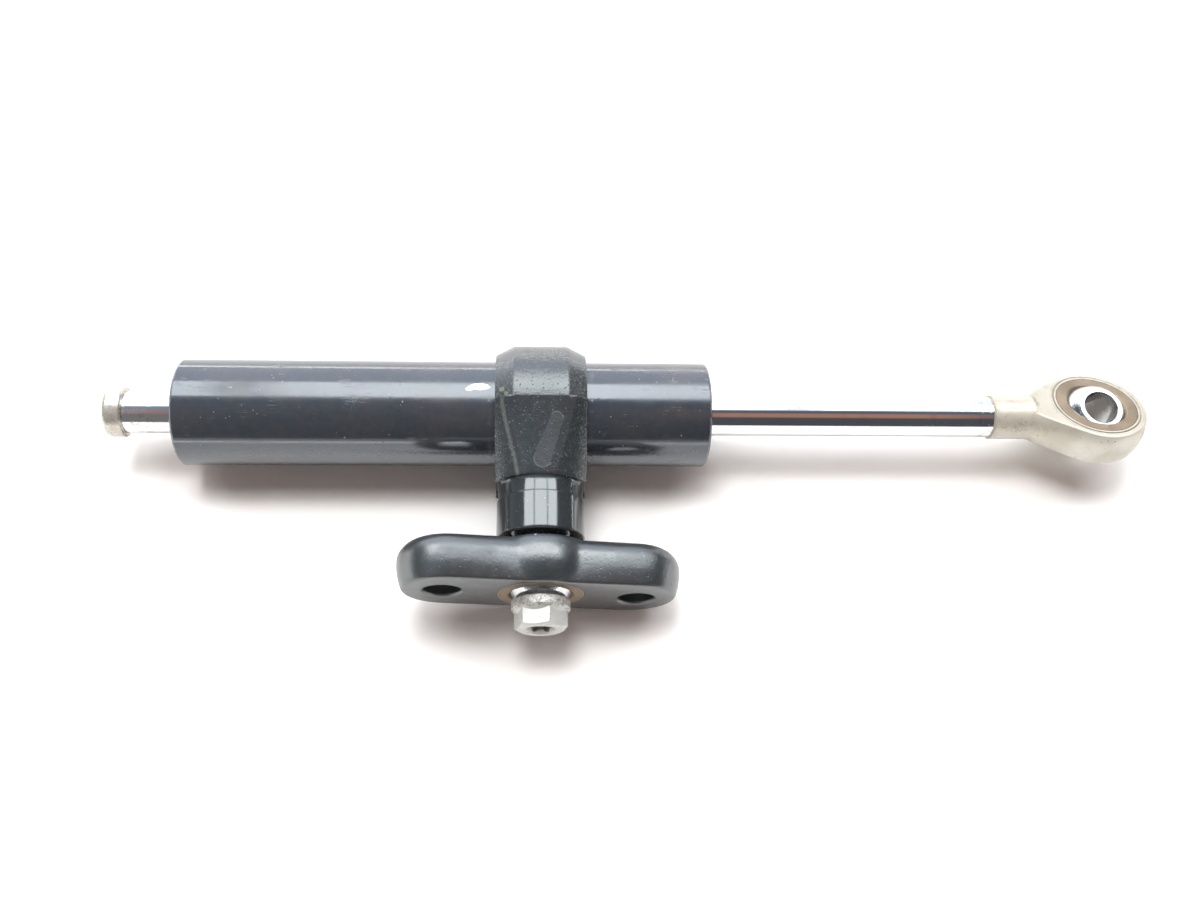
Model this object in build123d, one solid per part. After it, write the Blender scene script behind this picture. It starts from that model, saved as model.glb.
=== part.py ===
from build123d import *
import math
import os

# Steering damper with a through rod: a tube with a glued-on clamp yoke, a two-hole bracket
# that swivels on a ball under the yoke's bolt, and a rod end on the rod.
# Every size is in millimetres, every angle in degrees.
# X runs along the rod towards the rod end, Y from the bracket's flat face to the rod, Z is up.
# The origin is the middle of the bracket's two holes, on its flat face.

# Layout
rod_diameter = 10.0
left_rod_exposure = 13.3
right_rod_exposure = 71.2
eye_to_rod_shoulder = 26.9
stroke_outward = 10.0
bracket_turn_at_rest = 9.5
housing_turn_at_rest = 23.0

# Clearances and overruns
running_clearance = 0.03
fixed_clearance = 0.01
bond_gap = 0.02
face_play = 0.02
ball_clearance = 0.05
stroke_bump_gap = 0.5
cut_overrun = 1.0

# Tube
tube_outer_diameter = 25.2
tube_length = 124.4
tube_reach_right = 40.1
tube_wall = 3.1
tube_end_chamfer = 0.5

# Glands at the tube's ends
gland_seat_step = 1.0
gland_rod_gap = 0.25
gland_ring_setback = 1.5
wiper_height = 2.8
wiper_pocket_depth = 3.2
wiper_lip_reach = 0.8
wiper_lip_width = 1.1
seal_height = 3.2
seal_width = 3.6
seal_spacing = 1.4
seal_notch_depth = 1.4
seal_notch_width = 1.2
bush_spacing = 1.4
bush_wall = 1.0
bush_length = 6.4
o_ring_groove_depth = 1.3
o_ring_groove_width = 1.8
o_ring_groove_inset = 4.2

# Retaining rings
retaining_ring_thickness = 1.0
retaining_ring_groove_depth = 0.6
retaining_ring_overlap = 1.7
retaining_ring_slot = 5.0
piston_clip_thickness = 1.0
piston_clip_height = 2.0
piston_clip_groove_depth = 0.5
piston_clip_slot = 3.0

# Piston
piston_length = 12.0
piston_side_gap = 0.25
piston_band_width = 4.0
piston_band_depth = 1.4
piston_orifice_diameter = 1.6
piston_orifice_height = 1.6
piston_orifice_count = 4

# Rod and its end cap
rod_thread_step = 1.0
rod_thread_length = 12.0
cap_wall = 1.0
cap_length = 4.3
cap_thread_length = 3.0
cap_edge_radius = 1.2
cap_edge_chamfer = 0.3
thread_end_gap = 0.4

# Rod end
shank_wall = 0.45
shank_edge_chamfer = 0.4
head_wall = 2.9
head_width = 9.0
head_flare_angle = 28.7
head_flat_reach = 16.3
head_edge_radius = 0.4
head_race_wall = 1.96
head_race_bevel = 0.8
head_ball_diameter = 15.88
head_ball_land = 1.2
head_ball_bore = 8.0
head_ball_chamfer = 0.3
stake_groove_offset = 0.7
stake_groove_width = 0.35
stake_groove_depth = 0.25

# Clamp yoke
yoke_width = 21.3
yoke_crown_width = 12.6
yoke_crown_wall = 3.8
yoke_side_wall = 1.6
boss_diameter = 20.5
boss_end_to_axis = 32.65
boss_length = 9.1
boss_end_chamfer = 0.4
neck_step = 0.4
neck_cove_radius = 2.6
lug_top_slope = 10.0
lug_back_width = 17.3
lug_front_width = 10.6
lug_bevel_width = 1.45
lug_bevel_drop = 0.7
lug_side_slope = 42.0
lug_cone_diameter = 26.7
lug_cone_angle = 14.7
bolt_hole_extra = 1.2

# Pivot bolt
bolt_diameter = 8.0
bolt_length = 30.0
bolt_tip_chamfer = 0.8
flange_overhang = 2.7
flange_rim = 1.9
flange_cone = 1.2
hex_across_flats = 10.7
hex_height = 3.5
hex_edge_drop = 0.7
hex_turn = 12.0
lobe_socket_diameter = 6.6
lobe_diameter = 1.5
lobe_count = 6
lobe_socket_depth = 3.6
lobe_lead_in = 0.4

# Bracket
bracket_thickness = 11.1
bracket_hole_spacing = 44.4
bracket_hole_diameter = 8.4
bracket_hole_chamfer = 0.45
bracket_end_margin = 9.0
bracket_front_wall = 0.275
bracket_crown_swell = 1.35
bracket_crown_depth = 6.3
bracket_back_rounding = 5.45
barrel_crown_swell = 2.5
barrel_crown_depth = 5.9
barrel_back_wall = 0.375
pivot_race_wall = 1.095
pivot_race_bevel = 0.6
pivot_ball_diameter = 17.46
pivot_ball_land = 1.05
pivot_ball_edge = 0.3


def ball_width(diameter, bore, land):
    """Width that leaves a flat land of this size round the bore."""
    return 2 * math.sqrt((diameter / 2) ** 2 - (bore / 2 + land) ** 2)


# Worked out from the sizes above
rod_radius = rod_diameter / 2
rod_thread_radius = rod_radius - rod_thread_step
piston_clip_groove_radius = rod_radius - piston_clip_groove_depth
tube_radius = tube_outer_diameter / 2
tube_bore_radius = tube_radius - tube_wall
gland_seat_radius = tube_bore_radius + gland_seat_step
tube_left = tube_reach_right - tube_length
tube_right = tube_reach_right
gland_recess = gland_ring_setback + retaining_ring_thickness
seal_start = wiper_pocket_depth + seal_spacing
gland_length = seal_start + seal_width + bush_spacing + bush_length
o_ring_groove_start = gland_length - o_ring_groove_inset - o_ring_groove_width
gland_seat_depth = gland_recess + gland_length
gland_inner_right = tube_right - gland_seat_depth
piston_pack_half = piston_length / 2 + face_play + piston_clip_thickness
piston_middle = gland_inner_right - stroke_bump_gap - stroke_outward - piston_pack_half
cap_seat = tube_left - left_rod_exposure
rod_shoulder = tube_right + right_rod_exposure
eye_to_pivot = rod_shoulder + eye_to_rod_shoulder
head_race_diameter = head_ball_diameter + 2 * head_race_wall
head_sphere_radius = head_race_diameter / 2 + head_wall
head_ball_width = ball_width(head_ball_diameter, head_ball_bore, head_ball_land)
pivot_ball_bore = bolt_diameter + 2 * running_clearance
pivot_ball_width = ball_width(pivot_ball_diameter, pivot_ball_bore, pivot_ball_land)
pivot_race_diameter = pivot_ball_diameter + 2 * pivot_race_wall
ball_to_boss_end = pivot_ball_width / 2 + face_play
pivot_ball_depth = bracket_thickness / 2
face_to_rod_axis = pivot_ball_depth + ball_to_boss_end + boss_end_to_axis
yoke_crown_radius = tube_radius + yoke_crown_wall
yoke_side_radius = tube_radius + yoke_side_wall
bracket_front_radius = pivot_race_diameter / 2 + bracket_front_wall

rod_line = Pos(0, face_to_rod_axis, 0)
eye_place = Pos(eye_to_pivot, face_to_rod_axis, 0)
pivot_place = Pos(0, pivot_ball_depth, 0)


def polygon(points):
    return make_face(Polyline(*points, close=True))


def turned_on_rod(points):
    """Solid turned about the rod's axis from (place along X, radius) points."""
    return rod_line * revolve(polygon(points), axis=Axis.X)


def turned_on_bolt(points):
    """Solid turned about the Y axis from (radius, place along Y) points."""
    return revolve(polygon(points), axis=Axis.Y)


def ring_points(start, end, inner, outer):
    return [(start, inner), (end, inner), (end, outer), (start, outer)]


def split_ring(start, end, inner, outer, slot):
    """Spring ring about the rod's axis with a slot at its top."""
    ring = turned_on_rod(ring_points(start, end, inner, outer))
    reach = outer + cut_overrun
    middle = Pos((start + end) / 2, face_to_rod_axis, reach / 2)
    return ring - middle * Box(2 * (end - start), slot, reach)


def spherical_race(outer_diameter, width, ball_diameter, bevel):
    """Bearing race about the Z axis, hollowed for its ball, with a bevelled mouth on both faces."""
    cup_radius = ball_diameter / 2 + ball_clearance
    throat = math.sqrt(cup_radius**2 - (width / 2) ** 2)
    race = Cylinder(outer_diameter / 2, width) - Sphere(cup_radius)
    cone_height = bevel + cut_overrun
    cone_start = width / 2 - bevel
    cone = Pos(0, 0, cone_start + cone_height / 2) * Cone(throat, throat + cone_height, cone_height)
    race -= cone
    race -= mirror(cone, about=Plane.XY)
    return race


def bored_ball(ball_diameter, width, bore, edge):
    """Ball about the Z axis with two flats and a bevelled bore."""
    ball = Sphere(ball_diameter / 2) & Cylinder(ball_diameter, width)
    ball -= Cylinder(bore / 2, width + cut_overrun)
    rims = ball.edges().filter_by(GeomType.CIRCLE).filter_by(lambda e: e.radius < bore / 2 + edge / 2)
    return chamfer(rims, edge)


def gland_place(side, inward):
    """Place along X of a point this far inward from the outer face of the gland on this side."""
    outer_face = tube_right - gland_recess if side > 0 else tube_left + gland_recess
    return outer_face - side * inward


def gland_outline(side, points):
    return [(gland_place(side, inward), radius) for inward, radius in points]


def make_tube():
    bore = tube_bore_radius
    seat = gland_seat_radius
    groove = seat + retaining_ring_groove_depth
    edge = tube_end_chamfer
    half = [
        (0, seat),
        (gland_ring_setback, seat),
        (gland_ring_setback, groove),
        (gland_recess, groove),
        (gland_recess, seat),
        (gland_seat_depth, seat),
        (gland_seat_depth, bore),
    ]
    left = [(tube_left + along, radius) for along, radius in half]
    right = [(tube_right - along, radius) for along, radius in reversed(half)]
    outside = [
        (tube_right, tube_radius - edge),
        (tube_right - edge, tube_radius),
        (tube_left + edge, tube_radius),
        (tube_left, tube_radius - edge),
    ]
    return turned_on_rod(left + right + outside)


def make_gland(side):
    outer = gland_seat_radius - fixed_clearance
    hole = rod_radius + gland_rod_gap
    bush_seat = rod_radius + bush_wall
    seal_seat = rod_radius + seal_height
    wiper_seat = rod_radius + wiper_height
    seal_end = seal_start + seal_width
    bush_start = gland_length - bush_length
    groove_end = o_ring_groove_start + o_ring_groove_width
    points = [
        (0, outer),
        (o_ring_groove_start, outer),
        (o_ring_groove_start, outer - o_ring_groove_depth),
        (groove_end, outer - o_ring_groove_depth),
        (groove_end, outer),
        (gland_length, outer),
        (gland_length, bush_seat),
        (bush_start, bush_seat),
        (bush_start, hole),
        (seal_end, hole),
        (seal_end, seal_seat),
        (seal_start, seal_seat),
        (seal_start, hole),
        (wiper_pocket_depth, hole),
        (wiper_pocket_depth, wiper_seat),
        (0, wiper_seat),
    ]
    return turned_on_rod(gland_outline(side, points))


def make_guide_bush(side):
    inner = rod_radius + running_clearance
    outer = rod_radius + bush_wall - fixed_clearance
    section = ring_points(gland_length - bush_length, gland_length, inner, outer)
    return turned_on_rod(gland_outline(side, section))


def make_rod_seal(side):
    inner = rod_radius + running_clearance
    outer = rod_radius + seal_height - fixed_clearance
    middle = (inner + outer) / 2
    start = seal_start + fixed_clearance
    end = seal_start + seal_width - fixed_clearance
    points = [
        (start, inner),
        (end, inner),
        (end, middle - seal_notch_width / 2),
        (end - seal_notch_depth, middle),
        (end, middle + seal_notch_width / 2),
        (end, outer),
        (start, outer),
    ]
    return turned_on_rod(gland_outline(side, points))


def make_wiper(side):
    inner = rod_radius + running_clearance
    outer = rod_radius + wiper_height - fixed_clearance
    end = wiper_pocket_depth - fixed_clearance
    points = [
        (end, inner),
        (end, outer),
        (0, outer),
        (0, inner + wiper_lip_width),
        (-wiper_lip_reach, inner + wiper_lip_width / 2),
        (-wiper_lip_reach, inner),
    ]
    return turned_on_rod(gland_outline(side, points))


def make_gland_o_ring(side):
    groove_floor = gland_seat_radius - fixed_clearance - o_ring_groove_depth
    thickness = gland_seat_radius - groove_floor - 2 * fixed_clearance
    middle = gland_place(side, o_ring_groove_start + o_ring_groove_width / 2)
    ring = Torus(groove_floor + fixed_clearance + thickness / 2, thickness / 2)
    return Pos(middle, face_to_rod_axis, 0) * Rot(0, 90, 0) * ring


def make_retaining_ring(side):
    start = gland_place(side, 0)
    end = gland_place(side, -retaining_ring_thickness)
    inner = gland_seat_radius - retaining_ring_overlap
    outer = gland_seat_radius + retaining_ring_groove_depth - fixed_clearance
    return split_ring(min(start, end), max(start, end), inner, outer, retaining_ring_slot)


def make_piston():
    outer = tube_bore_radius - piston_side_gap
    inner = rod_radius + running_clearance
    half = piston_length / 2
    half_band = piston_band_width / 2
    points = [
        (-half, inner),
        (-half, outer),
        (-half_band, outer),
        (-half_band, outer - piston_band_depth),
        (half_band, outer - piston_band_depth),
        (half_band, outer),
        (half, outer),
        (half, inner),
    ]
    piston = turned_on_rod([(piston_middle + along, radius) for along, radius in points])
    orifice = Rot(0, 90, 0) * Cylinder(piston_orifice_diameter / 2, piston_length + cut_overrun)
    for index in range(piston_orifice_count):
        turn = Rot(index * 360 / piston_orifice_count, 0, 0)
        height = rod_radius + piston_orifice_height
        place = Pos(piston_middle, face_to_rod_axis, 0) * turn * Pos(0, height, 0)
        piston -= place * orifice
    return piston


def make_piston_band():
    outer = tube_bore_radius - running_clearance
    inner = tube_bore_radius - piston_side_gap - piston_band_depth + fixed_clearance
    half = piston_band_width / 2 - fixed_clearance
    return turned_on_rod(ring_points(piston_middle - half, piston_middle + half, inner, outer))


def piston_clip_span(side):
    near = piston_middle + side * (piston_length / 2 + face_play)
    far = near + side * piston_clip_thickness
    return min(near, far), max(near, far)


def make_piston_clip(side):
    start, end = piston_clip_span(side)
    inner = piston_clip_groove_radius + fixed_clearance
    return split_ring(start, end, inner, rod_radius + piston_clip_height, piston_clip_slot)


def make_rod():
    thread = rod_thread_radius
    groove = piston_clip_groove_radius
    left_start, left_end = piston_clip_span(-1)
    right_start, right_end = piston_clip_span(1)
    points = [
        (cap_seat - cap_thread_length, 0),
        (cap_seat - cap_thread_length, thread),
        (cap_seat, thread),
        (cap_seat, rod_radius),
        (left_start, rod_radius),
        (left_start, groove),
        (left_end, groove),
        (left_end, rod_radius),
        (right_start, rod_radius),
        (right_start, groove),
        (right_end, groove),
        (right_end, rod_radius),
        (rod_shoulder, rod_radius),
        (rod_shoulder, thread),
        (rod_shoulder + rod_thread_length, thread),
        (rod_shoulder + rod_thread_length, 0),
    ]
    return turned_on_rod(points)


def make_rod_cap():
    outer = rod_radius + cap_wall
    thread = rod_thread_radius + fixed_clearance
    seat = cap_seat
    end = seat - cap_length
    well = seat - cap_thread_length - thread_end_gap
    corner = (end + cap_edge_radius, outer)
    lines = [
        Line((well, 0), (end, 0)),
        Line((end, 0), (end, outer - cap_edge_radius)),
        RadiusArc((end, outer - cap_edge_radius), corner, cap_edge_radius),
        Line(corner, (seat - cap_edge_chamfer, outer)),
        Line((seat - cap_edge_chamfer, outer), (seat, outer - cap_edge_chamfer)),
        Line((seat, outer - cap_edge_chamfer), (seat, thread)),
        Line((seat, thread), (well, thread)),
        Line((well, thread), (well, 0)),
    ]
    return rod_line * revolve(make_face(lines), axis=Axis.X)


def make_rod_end_housing():
    """Forged head and shank about the X axis, with flats square to Z, then turned about X."""
    shank = rod_radius + shank_wall
    angle = math.radians(head_flare_angle)
    tangent = (-head_sphere_radius * math.sin(angle), head_sphere_radius * math.cos(angle))
    flare_start = tangent[0] - (tangent[1] - shank) / math.tan(angle)
    start = -eye_to_rod_shoulder
    well = start + rod_thread_length + thread_end_gap
    thread = rod_thread_radius + fixed_clearance
    top = (0, head_sphere_radius)
    nose = (head_sphere_radius, 0)
    lines = [
        Line((start, thread), (start, shank - shank_edge_chamfer)),
        Line((start, shank - shank_edge_chamfer), (start + shank_edge_chamfer, shank)),
        Line((start + shank_edge_chamfer, shank), (flare_start, shank)),
        Line((flare_start, shank), tangent),
        RadiusArc(tangent, top, head_sphere_radius),
        RadiusArc(top, nose, head_sphere_radius),
        Line(nose, (well, 0)),
        Line((well, 0), (well, thread)),
        Line((well, thread), (start, thread)),
    ]
    head = revolve(make_face(lines), axis=Axis.X)
    flat_length = head_flat_reach + head_sphere_radius + cut_overrun
    flat_height = head_sphere_radius
    flat_middle = flat_length / 2 - head_flat_reach
    for side in (1, -1):
        place = Pos(flat_middle, 0, side * (head_width / 2 + flat_height / 2))
        head -= place * Box(flat_length, 2 * head_sphere_radius + cut_overrun, flat_height)
    rims = []
    for edge in head.edges():
        size = edge.bounding_box().size
        if size.Z < fixed_clearance and size.X > fixed_clearance and edge.length > head_width:
            rims.append(edge)
    head = fillet(rims, head_edge_radius)
    for side in (1, -1):
        groove_outer = head_race_diameter / 2 + stake_groove_offset + stake_groove_width / 2
        groove = Cylinder(groove_outer, 2 * stake_groove_depth)
        groove -= Cylinder(groove_outer - stake_groove_width, 2 * stake_groove_depth)
        head -= Pos(0, 0, side * head_width / 2) * groove
    head -= Cylinder(head_race_diameter / 2 + fixed_clearance, head_width + cut_overrun)
    return eye_place * Rot(-housing_turn_at_rest, 0, 0) * head


def make_rod_end_race():
    race = spherical_race(head_race_diameter, head_width, head_ball_diameter, head_race_bevel)
    return eye_place * Rot(-housing_turn_at_rest, 0, 0) * race


def make_rod_end_ball():
    return eye_place * bored_ball(head_ball_diameter, head_ball_width, head_ball_bore, head_ball_chamfer)


def lug_section(depth, top_width):
    """Face square to Y at this distance in front of the rod's axis, alike on all four sides."""
    slope = math.radians(lug_top_slope)
    top = (yoke_crown_radius - depth * math.sin(slope)) / math.cos(slope)
    side = yoke_width / 2
    bevel = min(top_width / 2 + lug_bevel_width, side)
    bevel_height = top - lug_bevel_drop
    side_height = bevel_height - (side - bevel) * math.tan(math.radians(lug_side_slope))
    quarter = [(top_width / 2, top), (bevel, bevel_height), (side, side_height)]
    upper = [(-x, z) for x, z in reversed(quarter)] + quarter
    lower = [(x, -z) for x, z in reversed(upper)]
    plane = Plane(origin=(0, face_to_rod_axis - depth, 0), x_dir=(1, 0, 0), z_dir=(0, -1, 0))
    return plane * polygon(upper + lower)


def make_lug():
    """Tapered lug in front of the ring, trimmed to a cone about the bolt's axis."""
    back_depth = yoke_crown_radius * math.sin(math.radians(lug_top_slope))
    front_depth = boss_end_to_axis - boss_length - neck_cove_radius
    back = lug_section(back_depth, lug_back_width)
    front = lug_section(front_depth, lug_front_width)
    lug = loft([back, front], ruled=True)
    front_radius = lug_cone_diameter / 2
    growth = (front_depth - back_depth) * math.tan(math.radians(lug_cone_angle))
    cone = [
        (0, face_to_rod_axis - front_depth),
        (front_radius, face_to_rod_axis - front_depth),
        (front_radius + growth, face_to_rod_axis - back_depth),
        (0, face_to_rod_axis - back_depth),
    ]
    return lug & turned_on_bolt(cone)


def make_boss():
    """Round boss, its neck and the cove that joins them to the lug."""
    end = face_to_rod_axis - boss_end_to_axis
    start = end + boss_length
    cove_end = start + neck_cove_radius
    radius = boss_diameter / 2
    neck = radius - neck_step
    cove = (neck + neck_cove_radius, cove_end)
    lines = [
        Line((0, end), (radius - boss_end_chamfer, end)),
        Line((radius - boss_end_chamfer, end), (radius, end + boss_end_chamfer)),
        Line((radius, end + boss_end_chamfer), (radius, start)),
        Line((radius, start), (neck, start)),
        RadiusArc((neck, start), cove, neck_cove_radius),
        Line(cove, (0, cove_end)),
        Line((0, cove_end), (0, end)),
    ]
    boss = revolve(make_face(lines), axis=Axis.Y)
    depth = face_to_rod_axis - end
    return boss & Pos(0, end + depth / 2, 0) * Box(yoke_width, depth, 2 * yoke_crown_radius)


def make_clamp_yoke():
    half = yoke_width / 2
    crown_half = yoke_crown_width / 2
    bore = tube_radius + bond_gap
    ring = turned_on_rod(
        [
            (-half, bore),
            (half, bore),
            (half, yoke_side_radius),
            (crown_half, yoke_crown_radius),
            (-crown_half, yoke_crown_radius),
            (-half, yoke_side_radius),
        ]
    )
    yoke = ring + make_lug() + make_boss()
    yoke -= rod_line * Rot(0, 90, 0) * Cylinder(bore, yoke_width + cut_overrun)
    boss_end = face_to_rod_axis - boss_end_to_axis
    hole_depth = bolt_length - pivot_ball_width - 2 * face_play + bolt_hole_extra
    hole_radius = bolt_diameter / 2 + fixed_clearance
    hole = Rot(90, 0, 0) * Cylinder(hole_radius, hole_depth + cut_overrun)
    yoke -= Pos(0, boss_end + (hole_depth - cut_overrun) / 2, 0) * hole
    return yoke


def make_pivot_bolt():
    """Flange bolt along Y with a hexagon head and a lobed socket."""
    seat = pivot_ball_depth - pivot_ball_width / 2 - face_play
    rim_end = seat - flange_rim
    cone_end = rim_end - flange_cone
    hex_end = cone_end - hex_height
    shank = bolt_diameter / 2
    tip = seat + bolt_length
    hex_radius = hex_across_flats / 2
    body = turned_on_bolt(
        [
            (0, cone_end),
            (hex_radius, cone_end),
            (shank + flange_overhang, rim_end),
            (shank + flange_overhang, seat),
            (shank, seat),
            (shank, tip - bolt_tip_chamfer),
            (shank - bolt_tip_chamfer, tip),
            (0, tip),
        ]
    )
    hex_plane = Plane(origin=(0, rim_end, 0), x_dir=(1, 0, 0), z_dir=(0, -1, 0))
    hexagon = hex_plane * RegularPolygon(hex_radius, 6, major_radius=False, rotation=hex_turn)
    head = extrude(hexagon, amount=rim_end - hex_end)
    corner_radius = hex_radius / math.cos(math.pi / 6)
    head &= turned_on_bolt(
        [
            (0, hex_end),
            (hex_radius - hex_edge_drop / 2, hex_end),
            (corner_radius, hex_end + hex_edge_drop),
            (corner_radius, rim_end),
            (0, rim_end),
        ]
    )
    socket_plane = Plane(origin=(0, hex_end - cut_overrun, 0), x_dir=(1, 0, 0), z_dir=(0, 1, 0))
    lobe_circle = lobe_socket_diameter / 2 - lobe_diameter / 2
    star = Circle(lobe_circle)
    for index in range(lobe_count):
        turn = index * 360 / lobe_count
        star += Rot(0, 0, turn) * Pos(lobe_circle, 0) * Circle(lobe_diameter / 2)
    socket = extrude(socket_plane * star, amount=lobe_socket_depth + cut_overrun)
    lead_in = turned_on_bolt(
        [
            (0, hex_end),
            (lobe_socket_diameter / 2 + lobe_lead_in, hex_end),
            (lobe_socket_diameter / 2 - lobe_lead_in, hex_end + 2 * lobe_lead_in),
            (0, hex_end + 2 * lobe_lead_in),
        ]
    )
    return body + head - socket - lead_in


def bracket_half_section(crown_radius, crown_depth, back_radius):
    """Half section from the middle line outward: swelling front part, crown, rounded back."""
    front = (bracket_front_radius, 0)
    crown = (crown_radius, crown_depth)
    back = (back_radius, bracket_thickness)
    swell = crown_radius - bracket_front_radius
    front_arc_radius = (crown_depth**2 + swell**2) / (2 * swell)
    back_height = bracket_thickness - crown_depth
    arc_middle = (back_radius, crown_depth)
    quarter_turn = 90
    lines = [
        Line((0, 0), front),
        RadiusArc(front, crown, -front_arc_radius),
        EllipticalCenterArc(arc_middle, crown_radius - back_radius, back_height, arc_size=quarter_turn),
        Line(back, (0, bracket_thickness)),
        Line((0, bracket_thickness), (0, 0)),
    ]
    return make_face(lines)


def make_mounting_bracket():
    arm_crown = bracket_front_radius + bracket_crown_swell
    arm = bracket_half_section(arm_crown, bracket_crown_depth, arm_crown - bracket_back_rounding)
    barrel_crown = bracket_front_radius + barrel_crown_swell
    barrel_back = pivot_race_diameter / 2 + barrel_back_wall
    barrel = bracket_half_section(barrel_crown, barrel_crown_depth, barrel_back)
    reach = bracket_hole_spacing / 2 + bracket_end_margin - bracket_front_radius
    whole_arm = arm + mirror(arm, about=Plane.YZ)
    bracket = extrude(Rot(0, 90, 0) * whole_arm, amount=reach, both=True)
    bracket += revolve(barrel, axis=Axis.Y)
    for side in (1, -1):
        bracket += Pos(side * reach, 0, 0) * revolve(arm, axis=Axis.Y)
    race_seat = Cylinder(pivot_race_diameter / 2 + fixed_clearance, 2 * bracket_thickness + cut_overrun)
    bracket -= Rot(90, 0, 0) * race_seat
    hole = bracket_hole_diameter / 2
    edge = bracket_hole_chamfer
    bolt_hole = turned_on_bolt(
        [
            (0, -cut_overrun),
            (hole + edge + cut_overrun, -cut_overrun),
            (hole, edge),
            (hole, bracket_thickness - edge),
            (hole + edge + cut_overrun, bracket_thickness + cut_overrun),
            (0, bracket_thickness + cut_overrun),
        ]
    )
    for side in (1, -1):
        bracket -= Pos(side * bracket_hole_spacing / 2, 0, 0) * bolt_hole
    return Rot(0, bracket_turn_at_rest, 0) * bracket


def make_bracket_race():
    race = spherical_race(pivot_race_diameter, bracket_thickness, pivot_ball_diameter, pivot_race_bevel)
    return pivot_place * Rot(90, 0, 0) * race


def make_bracket_ball():
    ball = bored_ball(pivot_ball_diameter, pivot_ball_width, pivot_ball_bore, pivot_ball_edge)
    return pivot_place * Rot(90, 0, 0) * ball


def make_pieces():
    pieces = {
        "cylinder_tube": make_tube(),
        "piston": make_piston(),
        "piston_band": make_piston_band(),
        "damper_rod": make_rod(),
        "rod_end_cap": make_rod_cap(),
        "rod_end_housing": make_rod_end_housing(),
        "rod_end_race": make_rod_end_race(),
        "rod_end_ball": make_rod_end_ball(),
        "clamp_yoke": make_clamp_yoke(),
        "pivot_bolt": make_pivot_bolt(),
        "mounting_bracket": make_mounting_bracket(),
        "bracket_race": make_bracket_race(),
        "bracket_ball": make_bracket_ball(),
    }
    for name, side in (("left", -1), ("right", 1)):
        pieces[name + "_gland"] = make_gland(side)
        pieces[name + "_guide_bush"] = make_guide_bush(side)
        pieces[name + "_rod_seal"] = make_rod_seal(side)
        pieces[name + "_wiper"] = make_wiper(side)
        pieces[name + "_gland_o_ring"] = make_gland_o_ring(side)
        pieces[name + "_retaining_ring"] = make_retaining_ring(side)
        pieces[name + "_piston_clip"] = make_piston_clip(side)
    return pieces


os.makedirs("parts", exist_ok=True)
for node, shape in make_pieces().items():
    export_step(shape, f"parts/{node}.step")
    print(f"{node:24s} volume {shape.volume:10.1f}")
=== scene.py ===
import bmesh
import bpy
import math
from mathutils import Matrix, Vector


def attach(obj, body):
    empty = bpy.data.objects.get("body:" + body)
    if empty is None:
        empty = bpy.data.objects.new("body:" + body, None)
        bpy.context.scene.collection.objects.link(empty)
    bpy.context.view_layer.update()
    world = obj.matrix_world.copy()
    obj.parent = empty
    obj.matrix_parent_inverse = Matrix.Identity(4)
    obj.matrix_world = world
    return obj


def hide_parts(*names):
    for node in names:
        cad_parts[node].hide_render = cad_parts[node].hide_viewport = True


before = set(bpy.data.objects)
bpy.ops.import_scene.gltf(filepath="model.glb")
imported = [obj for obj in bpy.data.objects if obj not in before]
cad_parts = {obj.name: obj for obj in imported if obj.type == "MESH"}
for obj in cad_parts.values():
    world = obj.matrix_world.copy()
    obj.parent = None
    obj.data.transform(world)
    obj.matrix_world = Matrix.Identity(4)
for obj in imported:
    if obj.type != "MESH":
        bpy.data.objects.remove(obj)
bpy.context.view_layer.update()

# Sizes in metres and angles, as in the solids
MM = 0.001
ROD_AXIS_Y = 45.32 * MM
TUBE_RADIUS = 12.6 * MM
FLOOR_Z = -16.42 * MM
BRACKET_THICKNESS = 11.1 * MM
BRACKET_CROWN_LEVEL = 6.1 * MM
SCREW_HOLE_RADIUS = 4.2 * MM
SCREW_HOLE_REACH = 22.2 * MM
RACE_SEAT_RADIUS = 9.835 * MM
BRACKET_TURN = math.radians(9.5)
HOUSING_TURN = math.radians(-23.0)

# Places in millimetres and directions, for materials that follow a piece
ORIGIN = (0.0, 0.0, 0.0)
ROD_LINE = (0.0, 45.32, 0.0)
EYE_MM = (138.2, 45.32, 0.0)
TUBE_MIDDLE_X = -22.1
FLOOR_FADE = (230.0, 1300.0)
X_AXIS = (1.0, 0.0, 0.0)
Y_AXIS = (0.0, 1.0, 0.0)
Z_AXIS = (0.0, 0.0, 1.0)
HOUSING_AXIS = (0.0, math.sin(-HOUSING_TURN), math.cos(HOUSING_TURN))

# Lamps, floor and room in metres, with angles up from +Y
WINDOW_HEIGHT_ANGLE = math.radians(62)
WINDOW_DISTANCE = 2.4
WINDOW_HEIGHT = 1.50
WINDOW_PANES = ((-2.0, -0.745), (-0.635, 0.64), (0.75, 1.9))
WINDOW_RADIANCE = 4.9
WINDOW_SHARE_OF_LIGHT = 0.14
OVERHEAD_PLACE = (-0.10, 0.165, 0.70)
OVERHEAD_SIZE = 0.28
OVERHEAD_POWER = 2.7
FLOOR_REACH = 6.0
NEAR_FLOOR_GAIN = 1.12
FAR_FLOOR_GAIN = 9.0
SHEET_RADIUS = 2.7
SHEET_STEPS = 24
WALL_FOOT = 2.0
WALL_TOP = 44.0
WINDOW_TOP = 79.8
CEILING_END = 173.0
WINDOW_REACH = 2.3
WALL_REACH = 2.6
ROOM_REACH = 3.6


# Short calls for building node trees

def feed(tree, socket, value):
    """Links a socket to a node's output, or sets it to a plain value."""
    if isinstance(value, bpy.types.NodeSocket):
        tree.links.new(value, socket)
    else:
        socket.default_value = value


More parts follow.
